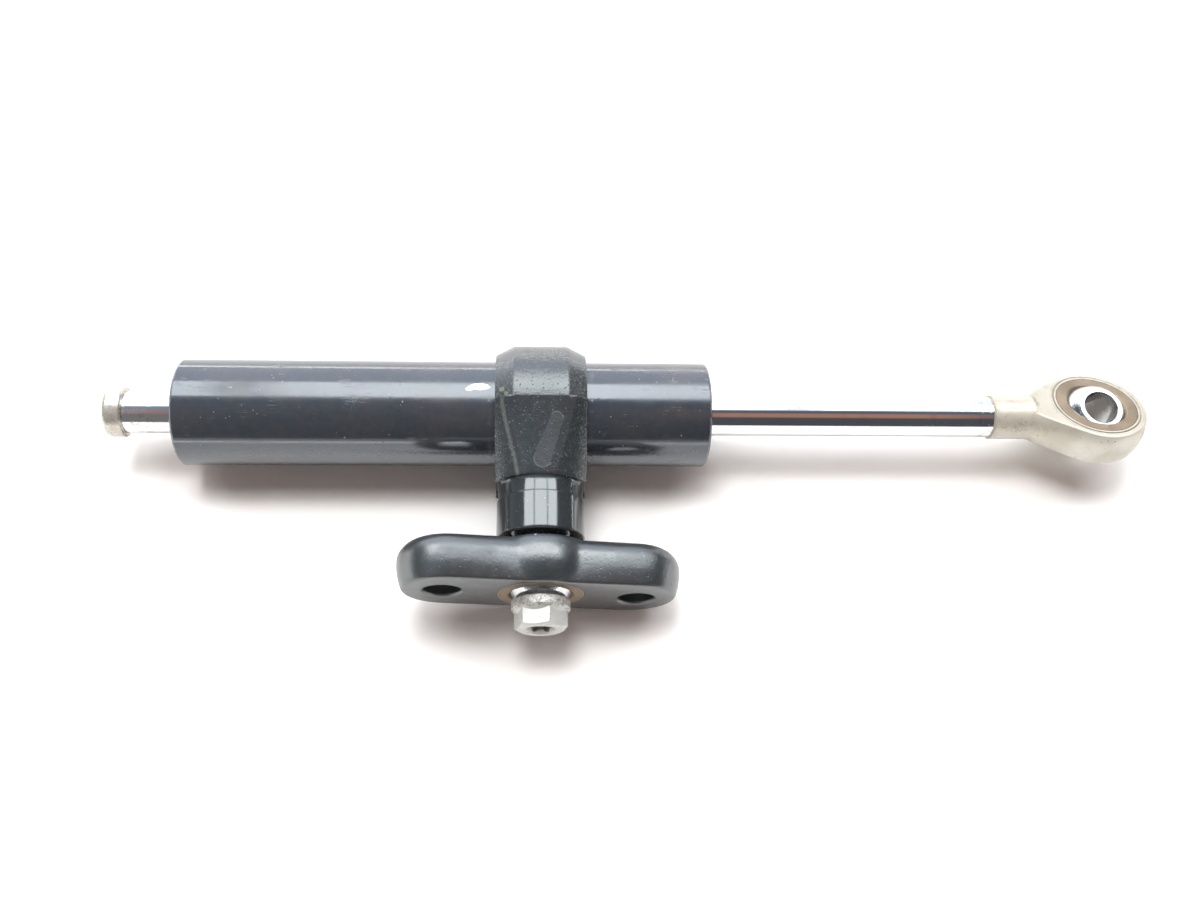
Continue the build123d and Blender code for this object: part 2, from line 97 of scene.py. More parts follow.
def add_node(tree, kind, inputs=None, **settings):
    """A shader node with its settings, and each input set to a value or linked to a socket."""
    node = tree.nodes.new("ShaderNode" + kind)
    for key, value in settings.items():
        setattr(node, key, value)
    for key, value in (inputs or {}).items():
        feed(tree, node.inputs[key], value)
    return node


def maths(tree, operation, a, b=0.0, clamp=False):
    return add_node(tree, "Math", {0: a, 1: b}, operation=operation, use_clamp=clamp).outputs[0]


def plus(tree, a, b, clamp=False):
    return maths(tree, "ADD", a, b, clamp)


def minus(tree, a, b):
    return maths(tree, "SUBTRACT", a, b)


def times(tree, a, b):
    return maths(tree, "MULTIPLY", a, b)


def apart(tree, a, b):
    """Distance between two values."""
    return maths(tree, "ABSOLUTE", minus(tree, a, b))


def vector_maths(tree, operation, a, b):
    return add_node(tree, "VectorMath", {0: a, 1: b}, operation=operation).outputs[0]


def vector_value(tree, operation, a, b=ORIGIN):
    """One number from vectors: a dot product, or the length of the first."""
    return add_node(tree, "VectorMath", {0: a, 1: b}, operation=operation).outputs["Value"]


def scaled(tree, vector, factor):
    return add_node(tree, "VectorMath", {0: vector, 3: factor}, operation="SCALE").outputs[0]


def x_of(tree, place):
    return add_node(tree, "SeparateXYZ", {0: place}).outputs[0]


def y_of(tree, place):
    return add_node(tree, "SeparateXYZ", {0: place}).outputs[1]


def z_of(tree, place):
    return add_node(tree, "SeparateXYZ", {0: place}).outputs[2]


def fade(tree, value, low, high, start=0.0, end=1.0):
    """Smooth step of a value from start to end as it goes from low to high."""
    node = add_node(
        tree,
        "MapRange",
        {"Value": value, "From Min": low, "From Max": high, "To Min": start, "To Max": end},
        interpolation_type="SMOOTHSTEP",
    )
    return node.outputs[0]


def mix_colour(tree, amount, a, b):
    return add_node(tree, "Mix", {0: amount, 6: a, 7: b}, data_type="RGBA").outputs[2]


def stained(tree, colour, amount, share, tone):
    """The colour with a tone over it, as strong as share where amount is 1."""
    return mix_colour(tree, times(tree, amount, share), colour, tone)


def noise(tree, place, scale, detail=4.0, rough=0.55, stretch=None):
    """Noise over a place in millimetres; stretch pulls it along the axes with small factors."""
    if stretch:
        place = vector_maths(tree, "MULTIPLY", place, stretch)
    node = add_node(
        tree, "TexNoise", {"Vector": place, "Scale": scale, "Detail": detail, "Roughness": rough}
    )
    return node.outputs[0]


def specks(tree, place, scale, size):
    """1 inside small scattered dots and 0 elsewhere."""
    node = add_node(tree, "TexVoronoi", {"Vector": place, "Scale": scale, "Randomness": 1.0})
    return fade(tree, node.outputs[0], size, size * 0.4)


def patch(tree, place, middle, reach, ragged=0.0, ragged_scale=1.0, edge=0.25):
    """1 inside an ellipsoid at a place in millimetres, with a ragged edge."""
    offset = vector_maths(tree, "SUBTRACT", place, middle)
    shape = vector_maths(tree, "DIVIDE", offset, reach)
    length = vector_value(tree, "LENGTH", shape)
    if ragged:
        wobble = minus(tree, noise(tree, place, ragged_scale, 5.0, 0.65), 0.5)
        length = plus(tree, length, times(tree, wobble, ragged))
    return fade(tree, length, 1.0, 1.0 - edge)


def most(tree, *values):
    result = values[0]
    for value in values[1:]:
        result = maths(tree, "MAXIMUM", result, value)
    return result


def scratches(tree, place, turn, scale, keep, stretch=14.0):
    """Thin lines along one direction, broken up by a coarser noise."""
    turned = add_node(
        tree, "Mapping", {"Vector": place, "Rotation": turn, "Scale": (1.0 / stretch, 1.0, 1.0)}
    ).outputs[0]
    line = noise(tree, turned, scale, 2.0, 0.5)
    thin = fade(tree, apart(tree, line, 0.5), 0.012, 0.0)
    gaps = fade(tree, noise(tree, place, 0.16, 3.0, 0.6), keep, keep + 0.06)
    return times(tree, thin, gaps)


def edge_mask(tree, radius):
    """1 on sharp outer and inner edges, 0 on open surface."""
    soft = add_node(tree, "Bevel", {"Radius": radius}, samples=6).outputs[0]
    plain = add_node(tree, "NewGeometry").outputs["Normal"]
    alike = vector_value(tree, "DOT_PRODUCT", soft, plain)
    return fade(tree, alike, 0.985, 0.88)


def bumps(tree, height, strength, distance, normal=None):
    inputs = {"Height": height, "Strength": strength, "Distance": distance}
    if normal is not None:
        inputs["Normal"] = normal
    return add_node(tree, "Bump", inputs).outputs[0]


def start_finish(name, soft_edge=None):
    """A material, its tree, the place in millimetres and, if asked, a normal with soft edges."""
    material = bpy.data.materials.new(name)
    material.use_nodes = True
    tree = material.node_tree
    place = scaled(tree, add_node(tree, "TexCoord").outputs["Object"], 1.0 / MM)
    normal = None
    if soft_edge:
        normal = add_node(tree, "Bevel", {"Radius": soft_edge}, samples=6).outputs[0]
    return material, tree, place, normal


def finish(material, colour, rough, normal=None, **values):
    """Links or sets inputs of the material's shader, and gives the material back."""
    names = {
        "metal": "Metallic",
        "ior": "IOR",
        "specular": "Specular IOR Level",
        "tint": "Specular Tint",
    }
    tree = material.node_tree
    inputs = tree.nodes["Principled BSDF"].inputs
    feed(tree, inputs["Base Color"], colour)
    feed(tree, inputs["Roughness"], rough)
    if normal is not None:
        feed(tree, inputs["Normal"], normal)
    for key, value in values.items():
        feed(tree, inputs[names[key]], value)
    return material


def round_place(tree, place, middle, axis):
    """Distance from an axis through middle, in millimetres."""
    offset = vector_maths(tree, "SUBTRACT", place, middle)
    part = scaled(tree, axis, vector_value(tree, "DOT_PRODUCT", offset, axis))
    return vector_value(tree, "LENGTH", vector_maths(tree, "SUBTRACT", offset, part))


def turning_lines(tree, distance, spacing, place):
    """Fine rings left by a lathe at even spacing, slightly uneven in depth."""
    wave = maths(tree, "SINE", times(tree, distance, math.tau / spacing))
    uneven = noise(tree, place, 0.9, 2.0, 0.5)
    return times(tree, wave, uneven)


# Paints

def paint_tube():
    """Glossy dark grey paint with dust, faint scratches, handling marks and one chip."""
    material, tree, place, normal = start_finish("tube_paint", 0.35 * MM)
    cloud = noise(tree, place, 0.035, 3.0, 0.55)
    fine = noise(tree, place, 0.55, 6.0, 0.65)
    colour = mix_colour(tree, cloud, (0.026, 0.032, 0.043, 1), (0.042, 0.047, 0.057, 1))
    colour = mix_colour(tree, fade(tree, fine, 0.35, 0.8, 0.0, 0.3), colour, (0.070, 0.070, 0.070, 1))

    # Brown film of old grease in patches, strongest by the clamp
    film = fade(tree, noise(tree, place, 0.06, 5.0, 0.6, (0.6, 1.0, 1.0)), 0.48, 0.75)
    colour = stained(tree, colour, film, 0.30, (0.115, 0.088, 0.066, 1))
    by_clamp = most(
        tree,
        patch(tree, place, (11.9, 45.32, 0.0), (1.7, 14.0, 14.0), 1.1, 0.35, 0.6),
        patch(tree, place, (-11.9, 45.32, 0.0), (1.5, 14.0, 14.0), 1.1, 0.35, 0.6),
    )
    colour = stained(tree, colour, by_clamp, 0.55, (0.235, 0.200, 0.140, 1))

    dusty = fade(tree, noise(tree, place, 0.10, 3.0, 0.6), 0.50, 0.62)
    dust = times(tree, specks(tree, place, 0.55, 0.14), dusty)
    colour = stained(tree, colour, dust, 0.35, (0.36, 0.36, 0.36, 1))
    lines = most(
        tree,
        scratches(tree, place, (0.0, 0.0, 1.25), 0.55, 0.56),
        scratches(tree, place, (0.3, 0.5, 0.15), 0.45, 0.60),
        scratches(tree, place, (0.9, 0.1, 0.7), 0.50, 0.58),
    )
    rub = patch(tree, place, (-43.8, 42.2, 12.2), (2.6, 3.4, 2.0), 1.4, 0.9, 0.8)
    rub = times(tree, rub, fade(tree, noise(tree, place, 2.2, 4.0, 0.7), 0.45, 0.62))
    lines = most(tree, lines, times(tree, rub, 0.8))
    lines = times(tree, lines, 0.4)
    colour = stained(tree, colour, lines, 0.6, (0.17, 0.17, 0.18, 1))

    # Chips down to bare metal
    chip = most(
        tree,
        patch(tree, place, (-14.3, 46.3, 12.57), (2.75, 0.95, 1.2), 0.9, 1.1, 0.25),
        patch(tree, place, (-16.6, 45.7, 12.57), (1.0, 0.55, 1.0), 0.8, 1.5, 0.25),
        patch(tree, place, (22.0, 33.2, -3.5), (1.3, 0.8, 0.8), 0.9, 1.4, 0.25),
        patch(tree, place, (-60.0, 57.4, 3.0), (1.6, 1.0, 0.9), 1.0, 1.2, 0.25),
    )
    rim = edge_mask(tree, 0.5 * MM)
    ends = fade(tree, apart(tree, x_of(tree, place), TUBE_MIDDLE_X), 61.0, 61.6)
    worn = times(tree, rim, fade(tree, noise(tree, place, 0.5, 4.0, 0.6), 0.50, 0.68))
    bare = most(tree, chip, times(tree, worn, times(tree, ends, 0.6)))
    metal_cloud = noise(tree, place, 1.6, 4.0, 0.6)
    metal_tone = mix_colour(tree, metal_cloud, (0.62, 0.62, 0.61, 1), (0.92, 0.92, 0.92, 1))
    colour = mix_colour(tree, bare, colour, metal_tone)

    rough = fade(tree, noise(tree, place, 0.12, 5.0, 0.6), 0.3, 0.75, 0.10, 0.17)
    smudge = fade(tree, noise(tree, place, 0.055, 6.0, 0.68, (0.7, 1.0, 1.0)), 0.50, 0.62)
    rough = plus(tree, rough, times(tree, smudge, 0.05))
    rough = plus(tree, rough, times(tree, most(tree, dust, by_clamp, lines), 0.35))
    rough = plus(tree, rough, times(tree, film, 0.04), clamp=True)
    right_haze = fade(tree, x_of(tree, place), 13.0, 24.0, 0.0, 0.05)
    rough = plus(tree, rough, right_haze)
    peel = noise(tree, place, 0.42, 3.0, 0.5)
    normal = bumps(tree, peel, 0.16, 0.05 * MM, normal)
    normal = bumps(tree, minus(tree, dust, most(tree, lines, chip)), 0.5, 0.05 * MM, normal)
    metal = times(tree, bare, 0.85)
    tint = (0.86, 0.93, 1.0, 1.0)
    return finish(material, colour, rough, normal, metal=metal, ior=1.95, tint=tint)


def cast_grain(tree, place):
    """Height of a fine sand-cast grain that shows through the paint."""
    coarse = noise(tree, place, 0.9, 4.0, 0.6)
    fine = noise(tree, place, 2.6, 3.0, 0.6)
    pits = specks(tree, place, 1.1, 0.22)
    return minus(tree, plus(tree, coarse, times(tree, fine, 0.6)), pits)


def paint_cast(
    name,
    tones,
    marks,
    chips,
    grime,
    edge_wear,
    streak_strength,
    grain_strength,
    roughness,
    ior,
    machined=None,
    worn_strip_with_painted_highlight=None,
    worn_patch=None,
):
    """Satin paint over a cast surface, in a dark, a light and a warm tone.

    Marks, chips and grime are patches in millimetres, each with a middle and a reach. The
    surface changes from turned to cast between the two depths in machined. The worn edge draws
    a strip of thin paint that is also a painted highlight, and worn_patch a rubbed patch and its outline.
    """
    material, tree, place, normal = start_finish(name, 0.55 * MM)
    dark, light, warm = tones
    colour = mix_colour(tree, noise(tree, place, 0.07, 4.0, 0.6), dark, light)
    mottle = fade(tree, noise(tree, place, 0.9, 6.0, 0.7), 0.42, 0.70)
    colour = stained(tree, colour, mottle, 0.30, warm)
    grain = cast_grain(tree, place)
    cast = 1.0
    if machined:
        cast = fade(tree, y_of(tree, place), machined[0], machined[1])

    rub = 0.0
    for middle, reach in marks:
        rub = most(tree, rub, patch(tree, place, middle, reach, 0.35, 0.35, 0.35))
    if worn_patch:
        inside, outline = worn_patch(tree, place)
        rub = most(tree, rub, times(tree, inside, 0.75))
    streaks = most(
        tree,
        scratches(tree, place, (0.0, 0.0, 1.1), 0.8, 0.50, 9.0),
        scratches(tree, place, (0.2, 0.7, 0.4), 0.8, 0.54, 9.0),
    )
    colour = stained(tree, colour, rub, 0.35, (0.060, 0.068, 0.075, 1))
    if worn_patch:
        colour = stained(tree, colour, outline, 0.35, (0.26, 0.28, 0.29, 1))
    streaks = times(tree, times(tree, streaks, cast), streak_strength)
    colour = stained(tree, colour, streaks, 0.5, (0.17, 0.17, 0.17, 1))

    # Strip of thin paint, drawn lighter than wear alone would make it, as a painted highlight
    if worn_strip_with_painted_highlight:
        colour = mix_colour(tree, worn_strip_with_painted_highlight(tree, place), colour, (0.175, 0.19, 0.185, 1))

    dirt = 0.0
    for middle, reach in grime:
        dirt = most(tree, dirt, patch(tree, place, middle, reach, 2.4, 1.5, 0.6))
    corner = times(tree, edge_mask(tree, 0.9 * MM), fade(tree, noise(tree, place, 0.4, 5.0, 0.7), 0.5, 0.7))
    dirt = most(tree, dirt, times(tree, corner, 0.25))
    colour = stained(tree, colour, dirt, 0.45, (0.25, 0.23, 0.16, 1))

    bare = 0.0
    for middle, reach in chips:
        bare = most(tree, bare, patch(tree, place, middle, reach, 0.9, 1.6, 0.3))
    worn = times(tree, edge_mask(tree, 0.5 * MM), fade(tree, noise(tree, place, 0.6, 5.0, 0.7), 0.52, 0.66))
    bare = most(tree, bare, times(tree, worn, edge_wear))
    dust = times(tree, specks(tree, place, 0.75, 0.13), fade(tree, noise(tree, place, 0.15), 0.5, 0.62))
    bare = most(tree, bare, times(tree, dust, 0.45))
    colour = mix_colour(tree, bare, colour, (0.62, 0.61, 0.58, 1))

    rough = fade(tree, noise(tree, place, 0.25, 5.0, 0.65), 0.3, 0.75, *roughness)
    rough = times(tree, rough, fade(tree, cast, 0.0, 1.0, 0.40, 1.0))
    rough = plus(tree, rough, times(tree, most(tree, rub, dirt, streaks), 0.15), clamp=True)
    grain = times(tree, grain, fade(tree, cast, 0.0, 1.0, 0.05, 1.0))
    normal = bumps(tree, grain, grain_strength, 0.11 * MM, normal)
    normal = bumps(tree, times(tree, most(tree, streaks, bare), -1.0), 0.5, 0.05 * MM, normal)
    metal = times(tree, bare, 0.6)
    tint = (0.92, 0.98, 1.0, 1.0)
    return finish(material, colour, rough, normal, metal=metal, ior=ior, tint=tint)


def left_lug_wear_and_painted_highlight(tree, place):
    """Strip of thin paint down the left edge of the lug's top, drawn lighter as a painted highlight along
    the bevel.
    """
    along = fade(tree, y_of(tree, place), 46.0, 20.5, -9.35, -4.9)
    off = apart(tree, x_of(tree, place), along)
    ragged = times(tree, noise(tree, place, 1.6, 6.0, 0.75), 1.3)
    strip = fade(tree, plus(tree, off, ragged), 1.35, 0.75)
    upper = fade(tree, z_of(tree, place), 4.0, 6.0)
    inner = times(tree, fade(tree, y_of(tree, place), 42.6, 41.8), fade(tree, y_of(tree, place), 24.9, 25.6))
    broken = fade(tree, noise(tree, place, 3.2, 5.0, 0.75), 0.36, 0.62, 0.25, 0.85)
    return times(tree, times(tree, strip, inner), times(tree, upper, broken))


def rubbed_oval(tree, place):
    """Long oval rubbed on the lug's top, and the pale line round its ends."""
    sine = 0.35
    cosine = 0.937
    half_length = 4.6
    x = minus(tree, x_of(tree, place), 1.9)
    y = minus(tree, y_of(tree, place), 33.2)
    along = plus(tree, times(tree, x, sine), times(tree, y, cosine))
    across = minus(tree, times(tree, x, cosine), times(tree, y, sine))
    past_end = maths(tree, "MAXIMUM", minus(tree, maths(tree, "ABSOLUTE", along), half_length), 0.0)
    squares = plus(tree, times(tree, past_end, past_end), times(tree, across, across))
    widen = fade(tree, along, 5.0, -5.0, -0.35, 0.15)
    distance = minus(tree, maths(tree, "SQRT", squares), widen)
    above = fade(tree, z_of(tree, place), 6.0, 8.0)
    inside = times(tree, fade(tree, distance, 1.95, 1.75), above)
    line = fade(tree, apart(tree, distance, 1.85), 0.16, 0.05)
    ends = fade(tree, past_end, 0.1, 0.9)
    return inside, times(tree, times(tree, line, ends), above)


def paint_yoke():
    return paint_cast(
        "yoke_paint",
        tones=((0.022, 0.028, 0.033, 1), (0.038, 0.043, 0.046, 1), (0.060, 0.064, 0.058, 1)),
        marks=[],
        chips=[
            ((-1.2, 36.4, 15.1), (0.35, 0.8, 0.6)),
            ((-1.4, 10.6, 10.2), (0.35, 0.25, 0.4)),
            ((3.6, 39.8, 15.6), (0.5, 0.25, 0.4)),
            ((-9.9, 24.6, 7.4), (0.7, 0.6, 0.6)),
        ],
        grime=[((-9.2, 44.6, 15.0), (1.1, 0.8, 0.8)), ((-8.0, 43.3, 15.4), (0.7, 0.5, 0.8))],
        edge_wear=0.25,
        streak_strength=0.16,
        grain_strength=0.75,
        roughness=(0.21, 0.29),
        ior=1.9,
        machined=(25.2, 26.4),
        worn_strip_with_painted_highlight=left_lug_wear_and_painted_highlight,
        worn_patch=rubbed_oval,
    )


def paint_bracket():
    return paint_cast(
        "bracket_paint",
        tones=((0.020, 0.026, 0.030, 1), (0.033, 0.037, 0.039, 1), (0.050, 0.052, 0.049, 1)),
        marks=[((-16.0, 6.5, 14.0), (8.0, 3.0, 4.0)), ((21.0, 6.5, 8.0), (6.0, 3.0, 4.0))],
        chips=[((-1.3, 10.6, 11.0), (0.3, 0.5, 0.5))],
        grime=[((12.0, 10.6, 3.0), (2.0, 0.8, 4.0)), ((-12.0, 10.6, 0.0), (2.0, 0.8, 5.0))],
        edge_wear=0.30,
        streak_strength=0.12,
        grain_strength=0.32,
        roughness=(0.27, 0.36),
        ior=2.2,
    )


# Bare and plated metals

def chrome_rod():
    """Ground hard chrome with fine lines round it, light haze and grime by its ends."""
    material, tree, place, normal = start_finish("rod_chrome", 0.2 * MM)
    haze = noise(tree, place, 0.09, 5.0, 0.6)
    colour = mix_colour(tree, haze, (0.78, 0.79, 0.80, 1), (0.90, 0.90, 0.89, 1))
    along = x_of(tree, place)
    left_dirt = fade(tree, along, -89.5, -92.5)
    right_dirt = fade(tree, along, 104.0, 110.5)
    spots = fade(tree, noise(tree, place, 0.75, 5.0, 0.7), 0.47, 0.66)
    dirt = times(tree, most(tree, left_dirt, right_dirt), spots)
    thin_film = times(tree, fade(tree, noise(tree, place, 0.2, 4.0, 0.6), 0.55, 0.75), 0.18)
    dirt = most(tree, dirt, thin_film)
    colour = stained(tree, colour, dirt, 0.55, (0.30, 0.25, 0.20, 1))
    rough = fade(tree, haze, 0.3, 0.75, 0.045, 0.10)
    rough = plus(tree, rough, times(tree, dirt, 0.28), clamp=True)
    ground = noise(tree, place, 1.0, 3.0, 0.6, (9.0, 0.5, 0.5))
    normal = bumps(tree, ground, 0.05, 0.01 * MM, normal)
    return finish(material, colour, rough, normal, metal=1.0)


def nickel_cap():
    """Turned nickel, a little yellow, with rings on its end."""
    material, tree, place, normal = start_finish("cap_nickel", 0.4 * MM)
    stain = fade(tree, noise(tree, place, 0.35, 5.0, 0.6), 0.38, 0.72)
    colour = mix_colour(tree, stain, (0.62, 0.60, 0.545, 1), (0.50, 0.46, 0.38, 1))
    spots = specks(tree, place, 1.3, 0.2)
    colour = stained(tree, colour, spots, 0.6, (0.25, 0.22, 0.17, 1))
    distance = round_place(tree, place, ROD_LINE, X_AXIS)
    rings = turning_lines(tree, plus(tree, distance, x_of(tree, place)), 0.28, place)
    rough = fade(tree, noise(tree, place, 0.6, 4.0, 0.6), 0.3, 0.75, 0.22, 0.40)
    normal = bumps(tree, rings, 0.12, 0.02 * MM, normal)
    return finish(material, colour, rough, normal, metal=0.6)


def plated_rod_end():
    """Pale forged and plated steel with stains, tool marks, darker at the shank's end, dirt and painted dark
    reflection on its edges and corners, and painted light low down and at the front.
    """
    material, tree, place, normal = start_finish("rod_end_plating", 0.5 * MM)
    cloud = noise(tree, place, 0.10, 4.0, 0.55)
    colour = mix_colour(tree, cloud, (0.53, 0.50, 0.42, 1), (0.67, 0.64, 0.545, 1))
    stain = fade(tree, noise(tree, place, 0.28, 6.0, 0.65), 0.50, 0.78)
    colour = stained(tree, colour, stain, 0.6, (0.36, 0.33, 0.26, 1))
    height = z_of(tree, place)
    # Painted light: the low and front sides are drawn paler
    painted_light_low_and_front = most(tree, fade(tree, height, 3.0, -2.0), fade(tree, y_of(tree, place), 38.5, 35.0))
    pale = times(tree, painted_light_low_and_front, fade(tree, cloud, 0.35, 0.6, 0.2, 0.6))
    colour = mix_colour(tree, pale, colour, (0.80, 0.80, 0.735, 1))
    spots = times(tree, specks(tree, place, 0.6, 0.16), fade(tree, noise(tree, place, 0.2), 0.45, 0.6))
    stains = fade(tree, noise(tree, place, 0.5, 4.0, 0.6), 0.48, 0.68)
    # Darker edges and corners: partly dirt, partly a painted dark reflection
    corner = times(tree, edge_mask(tree, 0.8 * MM), stains)
    neck = fade(tree, x_of(tree, place), 113.6, 111.0)
    neck = times(tree, neck, fade(tree, noise(tree, place, 0.8, 5.0, 0.7), 0.42, 0.62))
    from_eye = round_place(tree, place, EYE_MM, HOUSING_AXIS)
    groove = fade(tree, apart(tree, from_eye, 10.5), 0.22, 0.06)
    line = fade(tree, apart(tree, from_eye, 11.25), 0.12, 0.03)
    shank_end = fade(tree, apart(tree, x_of(tree, place), 111.5), 0.35, 0.1)
    corner_stain = patch(tree, place, (122.7, 48.2, 4.6), (1.2, 3.0, 2.6), 0.9, 0.8, 0.5)
    blots = patch(tree, place, (118.5, 41.0, 3.4), (7.5, 2.6, 3.0), 1.3, 0.35, 0.7)
    blots = times(tree, blots, fade(tree, noise(tree, place, 0.8, 6.0, 0.75), 0.46, 0.62))
    low_edge = most(
        tree,
        patch(tree, place, (137.5, 33.6, 7.8), (1.2, 0.5, 0.7), 1.2, 1.4, 0.5),
        patch(tree, place, (143.6, 34.4, 7.4), (1.0, 0.45, 0.7), 1.2, 1.4, 0.5),
        patch(tree, place, (131.5, 35.8, 7.4), (1.1, 0.45, 0.7), 1.2, 1.4, 0.5),
    )
    lines = most(tree, groove, times(tree, line, 0.5), times(tree, shank_end, 0.6))
    marks = most(tree, lines, times(tree, corner_stain, 0.8), low_edge, times(tree, blots, 0.6))
    dirt = most(tree, spots, times(tree, corner, 0.75), times(tree, neck, 0.7), marks)
    colour = stained(tree, colour, dirt, 0.7, (0.20, 0.17, 0.13, 1))
    rough = fade(tree, noise(tree, place, 0.5, 5.0, 0.6), 0.3, 0.75, 0.32, 0.50)
    rough = plus(tree, rough, times(tree, dirt, 0.2), clamp=True)
    grain = plus(tree, noise(tree, place, 0.7, 4.0, 0.6), times(tree, noise(tree, place, 3.0), 0.3))
    normal = bumps(tree, grain, 0.22, 0.05 * MM, normal)
    return finish(material, colour, rough, normal, metal=0.35, ior=1.6)


def bronze_race(name, middle, axis, step_at):
    """Dull bronze with lathe rings, a darker line and a smear of old grease."""
    material, tree, place, normal = start_finish(name, 0.25 * MM)
    distance = round_place(tree, place, middle, axis)
    cloud = noise(tree, place, 0.25, 5.0, 0.6)
    colour = mix_colour(tree, cloud, (0.26, 0.20, 0.14, 1), (0.42, 0.335, 0.24, 1))
    smear = fade(tree, noise(tree, place, 0.5, 5.0, 0.7), 0.48, 0.70)
    colour = stained(tree, colour, smear, 0.4, (0.20, 0.16, 0.12, 1))
    line = fade(tree, apart(tree, distance, step_at), 0.16, 0.04)
    colour = stained(tree, colour, line, 0.55, (0.16, 0.12, 0.09, 1))
    rings = turning_lines(tree, distance, 0.22, place)
    rough = fade(tree, cloud, 0.3, 0.75, 0.32, 0.52)
    normal = bumps(tree, minus(tree, rings, line), 0.22, 0.03 * MM, normal)
    return finish(material, colour, rough, normal, metal=0.75)


def chrome_ball(name, middle, axis):
    """Polished bearing ball with a ground flat, thin smears, faint rings and painted shade in its bore."""
    material, tree, place, normal = start_finish(name, 0.2 * MM)
    haze = noise(tree, place, 0.2, 5.0, 0.6)
    colour = mix_colour(tree, haze, (0.54, 0.57, 0.59, 1), (0.66, 0.69, 0.70, 1))
    from_axis = round_place(tree, place, middle, axis)
    # Painted shade: the wall of the bore is drawn darker
    painted_bore_shade = fade(tree, from_axis, 4.25, 3.95)
    colour = stained(tree, colour, painted_bore_shade, 0.6, (0.30, 0.30, 0.28, 1))
    smear = fade(tree, noise(tree, place, 0.6, 5.0, 0.7), 0.56, 0.74)
    colour = stained(tree, colour, smear, 0.35, (0.42, 0.38, 0.32, 1))
    rings = turning_lines(tree, from_axis, 0.18, place)
    rough = plus(tree, fade(tree, haze, 0.3, 0.75, 0.15, 0.28), times(tree, smear, 0.2))
    normal = bumps(tree, rings, 0.05, 0.01 * MM, normal)
    return finish(material, colour, rough, normal, metal=1.0)


def zinc_bolt():
    """Worn zinc on a forged head: pitted, hazy, with painted shade in the socket and darker round the
    flange.
    """
    material, tree, place, normal = start_finish("bolt_zinc", 0.3 * MM)
    cloud = noise(tree, place, 0.35, 5.0, 0.6)
    colour = mix_colour(tree, cloud, (0.53, 0.535, 0.51, 1), (0.70, 0.705, 0.68, 1))
    pits = times(tree, specks(tree, place, 1.0, 0.24), fade(tree, noise(tree, place, 0.5), 0.42, 0.60))
    stain = fade(tree, noise(tree, place, 0.8, 6.0, 0.7), 0.55, 0.75)
    colour = stained(tree, colour, stain, 0.5, (0.36, 0.34, 0.30, 1))
    from_axis = round_place(tree, place, ORIGIN, Y_AXIS)
    # Painted shade: the inside of the socket is drawn darker, and joins the pits below
    inside = fade(tree, from_axis, 3.6, 3.1)
    inside = times(tree, inside, fade(tree, y_of(tree, place), -8.0, -7.0))
    dirt = most(tree, times(tree, pits, 0.75), times(tree, inside, 0.7))
    flange = fade(tree, from_axis, 5.95, 6.25)
    wear = fade(tree, noise(tree, place, 1.3, 5.0, 0.7), 0.45, 0.62)
    dirt = most(tree, dirt, times(tree, times(tree, flange, wear), 0.8))
    colour = mix_colour(tree, dirt, colour, (0.22, 0.20, 0.17, 1))
    rough = plus(tree, fade(tree, cloud, 0.3, 0.75, 0.48, 0.62), times(tree, stain, 0.12))
    height = minus(tree, noise(tree, place, 0.9, 4.0, 0.6), pits)
    normal = bumps(tree, height, 0.6, 0.08 * MM, normal)
    return finish(material, colour, rough, normal, metal=0.65)


def turned_metal(name, dark, light):
    """Plain turned metal for the glands and the piston, wet with oil in places."""
    material, tree, place, normal = start_finish(name, 0.2 * MM)
    cloud = noise(tree, place, 0.3, 4.0, 0.6)
    colour = mix_colour(tree, cloud, dark, light)
    oil = fade(tree, noise(tree, place, 0.22, 4.0, 0.6), 0.5, 0.65)
    colour = stained(tree, colour, oil, 0.4, (0.20, 0.17, 0.13, 1))
    distance = round_place(tree, place, ROD_LINE, X_AXIS)
    rings = turning_lines(tree, plus(tree, distance, x_of(tree, place)), 0.25, place)
    rough = fade(tree, oil, 0.0, 1.0, 0.36, 0.16)
    normal = bumps(tree, rings, 0.18, 0.02 * MM, normal)
    return finish(material, colour, rough, normal, metal=0.95)


def black_rubber():
    material, tree, place, normal = start_finish("seal_rubber", 0.15 * MM)
    cloud = noise(tree, place, 0.8, 5.0, 0.65)
    colour = mix_colour(tree, cloud, (0.012, 0.012, 0.013, 1), (0.035, 0.034, 0.033, 1))
    dust = times(tree, specks(tree, place, 2.0, 0.2), 0.4)
    colour = mix_colour(tree, dust, colour, (0.22, 0.20, 0.17, 1))
    rough = fade(tree, cloud, 0.3, 0.75, 0.38, 0.66)
    normal = bumps(tree, noise(tree, place, 2.5, 3.0, 0.6), 0.3, 0.02 * MM, normal)
    return finish(material, colour, rough, normal)


def filled_plastic():
    material, tree, place, normal = start_finish("band_plastic", 0.15 * MM)
    fleck = fade(tree, noise(tree, place, 2.2, 5.0, 0.7), 0.45, 0.7)
    colour = mix_colour(tree, fleck, (0.085, 0.070, 0.055, 1), (0.20, 0.16, 0.11, 1))
    rough = fade(tree, noise(tree, place, 1.1), 0.3, 0.75, 0.34, 0.55)
    normal = bumps(tree, noise(tree, place, 3.0, 3.0, 0.6), 0.2, 0.02 * MM, normal)
    return finish(material, colour, rough, normal)


def grit_finish():
    material, tree, place, normal = start_finish("grit")
    cloud = noise(tree, place, 0.35, 2.0, 0.5)
    colour = mix_colour(tree, cloud, (0.11, 0.09, 0.065, 1), (0.36, 0.34, 0.31, 1))
    rough = fade(tree, noise(tree, place, 1.5), 0.3, 0.7, 0.5, 0.9)
    normal = bumps(tree, noise(tree, place, 9.0, 3.0, 0.6), 0.5, 0.02 * MM, normal)
    return finish(material, colour, rough, normal)


# Objects and meshes

